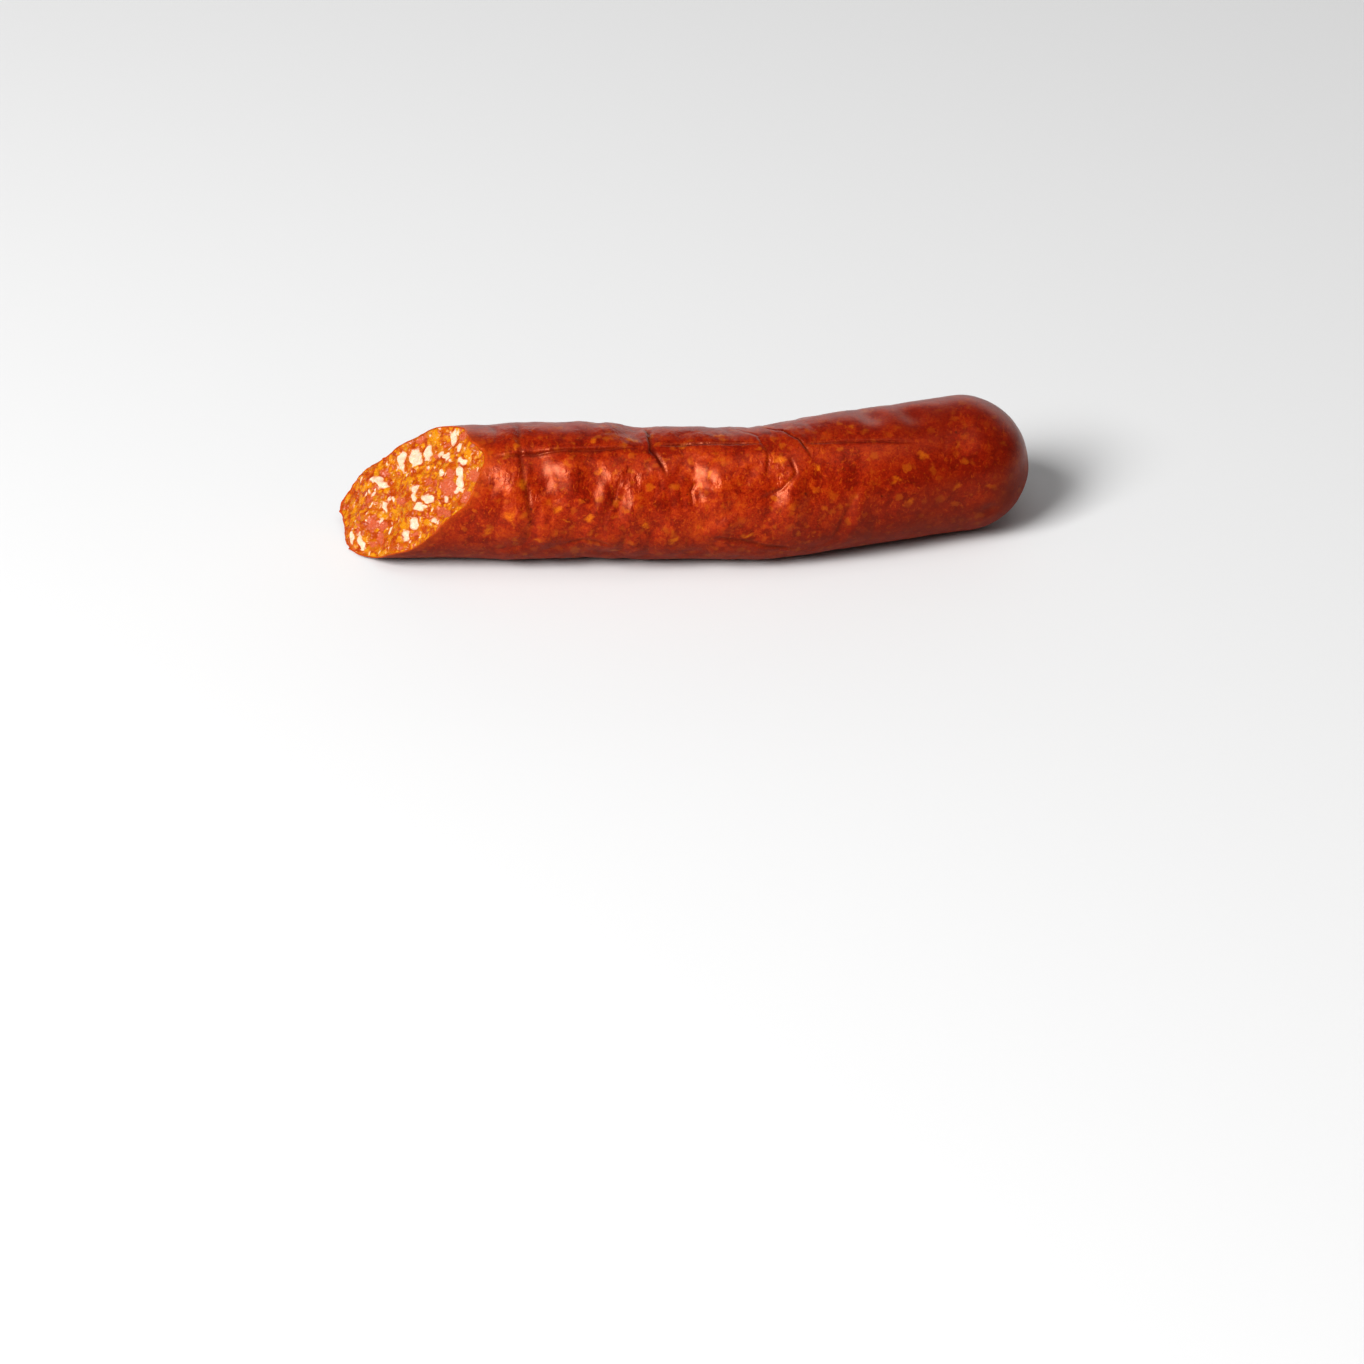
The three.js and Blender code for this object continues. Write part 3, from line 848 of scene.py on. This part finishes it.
    # at the cut the bare edge of the skin lets the light through
    patchy = addNode(tree, "ShaderNodeMapRange", {}, {0: grit.outputs["Fac"], 1: 0.3, 2: 0.7, 3: 0.35, 4: 1.0})
    edged = addNode(tree, "ShaderNodeMath", {"operation": "MULTIPLY"}, {0: fields["rim"], 1: patchy.outputs[0]})
    rimmed = addNode(tree, "ShaderNodeMix", {"data_type": "RGBA"}, {
        0: edged.outputs[0], 6: folded.outputs[2], 7: colour("#a8440a"),
    })

    # spice and smoke grains, up to 0.8 mm, in few places
    grains = addNode(tree, "ShaderNodeTexVoronoi", {"feature": "F1"}, {"Vector": coords, "Scale": 330})
    grainParts = addNode(tree, "ShaderNodeSeparateColor", {}, {0: grains.outputs["Color"]})
    grainReach = addNode(tree, "ShaderNodeMapRange", {}, {
        0: grainParts.outputs[2], 1: 0.8, 2: 1.0, 3: 0.0, 4: 0.13,
    })
    grainInside = addNode(tree, "ShaderNodeMath", {"operation": "SUBTRACT"}, {
        0: grainReach.outputs[0], 1: grains.outputs["Distance"],
    })
    grainMask = addNode(tree, "ShaderNodeMapRange", {}, {
        0: grainInside.outputs[0], 1: -0.03, 2: 0.03, 3: 0, 4: 0.65,
    })
    spiced = addNode(tree, "ShaderNodeMix", {"data_type": "RGBA"}, {
        0: grainMask.outputs[0], 6: rimmed.outputs[2], 7: colour("#330602"),
    })

    # wrinkles, 1.25 mm apart and 4.5 mm long around the sausage, where it has shrivelled, drawn coarser than
    # the finest real ones so that they show, and 0.4 mm pores
    drawnOut = addNode(tree, "ShaderNodeMapping", {}, {"Vector": warped.outputs[0], "Scale": (1.0, 0.28, 0.28)})
    wrinkles = addNode(tree, "ShaderNodeTexNoise", {}, {
        "Vector": drawnOut.outputs[0], "Scale": 800, "Detail": 2, "Roughness": 0.5,
    })
    pucker = addNode(tree, "ShaderNodeMapRange", {}, {
        0: clouds.outputs["Fac"], 1: 0.48, 2: 0.62, 3: 0.12, 4: 1.0,
    })
    wrinkled = addNode(tree, "ShaderNodeMath", {"operation": "MULTIPLY"}, {
        0: fields["wrinkle"], 1: pucker.outputs[0],
    })
    wrinkleHeight = addNode(tree, "ShaderNodeMath", {"operation": "MULTIPLY"}, {
        0: wrinkles.outputs["Fac"], 1: wrinkled.outputs[0],
    })
    pores = addNode(tree, "ShaderNodeTexNoise", {}, {"Vector": coords, "Scale": 2400, "Detail": 2})
    bumpBig = addNode(tree, "ShaderNodeBump", {}, {
        "Strength": 0.6, "Distance": 0.0006, "Height": wrinkleHeight.outputs[0],
    })
    bump = addNode(tree, "ShaderNodeBump", {}, {
        "Strength": 0.4, "Distance": 0.0001, "Height": pores.outputs["Fac"], "Normal": bumpBig.outputs[0],
    })
    gloss = addNode(tree, "ShaderNodeMapRange", {}, {0: grit.outputs["Fac"], 1: 0.3, 2: 0.7, 3: 0.26, 4: 0.38})
    dulled = addNode(tree, "ShaderNodeMath", {"operation": "MULTIPLY_ADD"}, {
        0: fields["dull"], 1: 0.4, 2: gloss.outputs[0],
    })

    shader = addNode(tree, "ShaderNodeBsdfPrincipled", {}, {
        "Base Color": spiced.outputs[2],
        "Roughness": dulled.outputs[0],
        "IOR": 1.45,
        "Specular IOR Level": 0.7,
        "Specular Tint": colour("#ffa67e"),
        "Subsurface Weight": 0.1,
        "Subsurface Radius": (1.0, 0.2, 0.05),
        "Subsurface Scale": 0.0015,
        "Normal": bump.outputs[0],
    })
    addNode(tree, "ShaderNodeOutputMaterial", {}, {"Surface": shader.outputs[0]})
    return material


# Coarse minced pork and back fat, bound by paprika paste and cut with a knife: opaque pale fat, pink lean and
# glistening orange grains. Gives a moist, uneven face whose lumps have crisp edges.
def meatMaterial():
    material, tree = emptyMaterial("mincedPorkAndPaprika")
    coords = addNode(tree, "ShaderNodeTexCoord", {}, {}).outputs["Object"]
    fields = {
        name: addNode(tree, "ShaderNodeAttribute", {"attribute_name": name}, {}).outputs["Fac"]
        for name in ("fat", "lean", "amber")
    }
    frayed = addNode(tree, "ShaderNodeTexNoise", {}, {"Vector": coords, "Scale": 1500, "Detail": 3})
    fray = addNode(tree, "ShaderNodeMapRange", {}, {
        0: frayed.outputs["Fac"], 1: 0.3, 2: 0.7, 3: -0.07, 4: 0.07,
    })

    # 1 inside a lump and 0 outside, with the edge moved in and out by the fraying
    masks = {}
    for name, softness in (("fat", 0.26), ("lean", 0.36), ("amber", 0.40)):
        edge = addNode(tree, "ShaderNodeMath", {"operation": "ADD"}, {0: fields[name], 1: fray.outputs[0]})
        settings = {"interpolation_type": "SMOOTHSTEP"}
        masks[name] = addNode(tree, "ShaderNodeMapRange", settings, {
            0: edge.outputs[0], 1: softness, 2: -softness, 3: 0, 4: 1,
        }).outputs[0]

    # paste: grains in cells of 1.8 mm, each its own orange, with redder paste between them
    warp = addNode(tree, "ShaderNodeTexNoise", {}, {"Vector": coords, "Scale": 600, "Detail": 2})
    warpCentred = addNode(tree, "ShaderNodeVectorMath", {"operation": "SUBTRACT"}, {
        0: warp.outputs["Color"], 1: (0.5, 0.5, 0.5),
    })
    warped = addNode(tree, "ShaderNodeVectorMath", {"operation": "MULTIPLY_ADD"}, {
        0: warpCentred.outputs[0], 1: (0.0018, 0.0018, 0.0018), 2: coords,
    })
    grains = addNode(tree, "ShaderNodeTexVoronoi", {"feature": "SMOOTH_F1"}, {
        "Vector": warped.outputs[0], "Scale": 560, "Smoothness": 0.35,
    })
    grainParts = addNode(tree, "ShaderNodeSeparateColor", {}, {0: grains.outputs["Color"]})
    grainTint = addNode(tree, "ShaderNodeValToRGB", {}, {0: grainParts.outputs[0]})
    tints = [
        (0.12, "#923602"), (0.34, "#a04802"), (0.5, "#a85702"),
        (0.64, "#ad6803"), (0.8, "#a86b10"), (0.92, "#9c4918"),
    ]
    setStops(grainTint.color_ramp, tints)
    between = addNode(tree, "ShaderNodeMapRange", {"interpolation_type": "SMOOTHSTEP"}, {
        0: grains.outputs["Distance"], 1: 0.3, 2: 0.75, 3: 0, 4: 0.6,
    })
    paste = addNode(tree, "ShaderNodeMix", {"data_type": "RGBA"}, {
        0: between.outputs[0], 6: grainTint.outputs[0], 7: colour("#9c4003"),
    })

    # amber fat, lean with fibres, pale fat, one over the other
    amberNoise = addNode(tree, "ShaderNodeTexNoise", {}, {"Vector": coords, "Scale": 900, "Detail": 3})
    amber = addNode(tree, "ShaderNodeMix", {"data_type": "RGBA"}, {
        0: amberNoise.outputs["Fac"], 6: colour("#b06003"), 7: colour("#be860c"),
    })
    fibreMap = addNode(tree, "ShaderNodeMapping", {}, {
        "Vector": coords, "Rotation": (0.4, 0.7, 0.3), "Scale": (1.0, 0.3, 0.6),
    })
    fibres = addNode(tree, "ShaderNodeTexNoise", {}, {
        "Vector": fibreMap.outputs[0], "Scale": 1300, "Detail": 4, "Roughness": 0.65,
    })
    lean = addNode(tree, "ShaderNodeMix", {"data_type": "RGBA"}, {
        0: fibres.outputs["Fac"], 6: colour("#9e4022"), 7: colour("#b46040"),
    })
    fatNoise = addNode(tree, "ShaderNodeTexNoise", {}, {"Vector": coords, "Scale": 800, "Detail": 3})
    pale = addNode(tree, "ShaderNodeMix", {"data_type": "RGBA"}, {
        0: fatNoise.outputs["Fac"], 6: colour("#ca9a7c"), 7: colour("#dcbca6"),
    })
    one = addNode(tree, "ShaderNodeMix", {"data_type": "RGBA"}, {
        0: masks["amber"], 6: paste.outputs[2], 7: amber.outputs[2],
    })
    two = addNode(tree, "ShaderNodeMix", {"data_type": "RGBA"}, {
        0: masks["lean"], 6: one.outputs[2], 7: lean.outputs[2],
    })
    three = addNode(tree, "ShaderNodeMix", {"data_type": "RGBA"}, {
        0: masks["fat"], 6: two.outputs[2], 7: pale.outputs[2],
    })

    # a moist, grainy surface: the same grains stand out, with 0.3 mm grit
    grit = addNode(tree, "ShaderNodeTexNoise", {}, {"Vector": coords, "Scale": 3000, "Detail": 2})
    bumpBig = addNode(tree, "ShaderNodeBump", {"invert": True}, {
        "Strength": 0.45, "Distance": 0.0006, "Height": grains.outputs["Distance"],
    })
    bump = addNode(tree, "ShaderNodeBump", {}, {
        "Strength": 0.4, "Distance": 0.00012, "Height": grit.outputs["Fac"], "Normal": bumpBig.outputs[0],
    })
    moist = addNode(tree, "ShaderNodeMapRange", {}, {
        0: frayed.outputs["Fac"], 1: 0.35, 2: 0.65, 3: 0.2, 4: 0.45,
    })
    shader = addNode(tree, "ShaderNodeBsdfPrincipled", {}, {
        "Base Color": three.outputs[2],
        "Roughness": moist.outputs[0],
        "IOR": 1.42,
        "Specular IOR Level": 0.3,
        "Subsurface Weight": 0.25,
        "Subsurface Radius": (1.0, 0.4, 0.15),
        "Subsurface Scale": 0.0008,
        "Normal": bump.outputs[0],
    })
    addNode(tree, "ShaderNodeOutputMaterial", {}, {"Surface": shader.outputs[0]})
    return material


casing = makeCasing(casingMaterial())
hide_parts("casing")
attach(casing, "root")
print("casing made,", len(casing.data.polygons), "faces")

filling = makeFilling(meatMaterial())
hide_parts("filling")
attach(filling, "root")
print("filling made,", len(filling.data.polygons), "faces")

studio = {
    "floorColour": "#cccccc",
    "floorHalf": 12,  # m
    "worldColour": "#ffffff",
    "worldStrength": 0.16,
    # azimuth in degrees from straight in front, minus to the left, elevation, distance in m, watts, size in m
    "lights": {
        "softKey": (-43, 40, 2.4, 86, (1.0, 1.1)),
        "softTop": (10, 75, 2.6, 12, (2.0, 1.6)),
        "softBack": (165, 14, 3.0, 16, (4.4, 1.3)),
    },
}


# Matt paper under the sausage, out to where the view ends.
def makeFloor():
    material, tree = emptyMaterial("paleStudioPaper")
    shader = addNode(tree, "ShaderNodeBsdfPrincipled", {}, {
        "Base Color": colour(studio["floorColour"]), "Roughness": 0.85, "Specular IOR Level": 0.1,
    })
    addNode(tree, "ShaderNodeOutputMaterial", {}, {"Surface": shader.outputs[0]})
    mesh = bpy.data.meshes.new("floor")
    far = studio["floorHalf"]
    mesh.from_pydata([(-far, -far, 0), (far, -far, 0), (far, far, 0), (-far, far, 0)], [], [(0, 1, 2, 3)])
    mesh.materials.append(material)
    floor = bpy.data.objects.new("floor", mesh)
    bpy.context.scene.collection.objects.link(floor)


# An area light that faces the sausage from an azimuth (0 in front, along +Y) and an elevation.
def makeLight(name, azimuth, elevation, distance, power, size):
    data = bpy.data.lights.new(name, "AREA")
    data.shape = "RECTANGLE"
    data.size, data.size_y = size
    data.energy = power
    light = bpy.data.objects.new(name, data)
    a, e = np.radians(azimuth), np.radians(elevation)
    place = Vector((np.sin(a) * np.cos(e), -np.cos(a) * np.cos(e), np.sin(e))) * distance
    light.matrix_world = Matrix.Translation(place) @ place.to_track_quat("Z", "Y").to_matrix().to_4x4()
    bpy.context.scene.collection.objects.link(light)


# A pale, weakly lit room with the floor and the three soft lights.
def makeStudio():
    world = bpy.data.worlds.new("paleRoom")
    world.use_nodes = True
    background = world.node_tree.nodes["Background"]
    background.inputs["Color"].default_value = colour(studio["worldColour"])
    background.inputs["Strength"].default_value = studio["worldStrength"]
    bpy.context.scene.world = world
    makeFloor()
    for name, settings in studio["lights"].items():
        makeLight(name, *settings)


view = {
    "lens": 105.6,  # mm on a 36 mm wide frame
    "pitch": 33.85,  # degrees down from level, looking along +Y
    "distance": 1.158,  # to the middle of the sausage, along the view
    "above": 0.0559,  # how far the sausage's middle sits above the middle of the frame
    "right": 0.0003,
    "behindFront": 0.0211,  # from the sausage's front edge to the middle of its straight part
    "middleHeight": 0.019,
}


# The camera, set back from its target along the view and then down and left, so that the sausage sits high up.
def makeCamera():
    data = bpy.data.cameras.new("camera")
    data.lens, data.sensor_width = view["lens"], 36
    camera = bpy.data.objects.new("camera", data)
    pitch = np.radians(view["pitch"])
    forward = Vector((0, np.cos(pitch), -np.sin(pitch)))
    upward = Vector((0, np.sin(pitch), np.cos(pitch)))
    # the straight part of the sausage, half its height up, is what the view is set on
    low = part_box("casing")[0]
    target = Vector((0.0, low[1] + view["behindFront"], low[2] + view["middleHeight"]))
    place = target - forward * view["distance"] - upward * view["above"] - Vector((view["right"], 0, 0))
    camera.matrix_world = Matrix.Translation(place) @ (-forward).to_track_quat("Z", "Y").to_matrix().to_4x4()
    bpy.context.scene.collection.objects.link(camera)
    bpy.context.scene.camera = camera


makeStudio()
makeCamera()
bpy.context.scene.view_settings.view_transform = "Standard"
bpy.context.scene.view_settings.look = "Medium High Contrast"
print("studio and camera set")
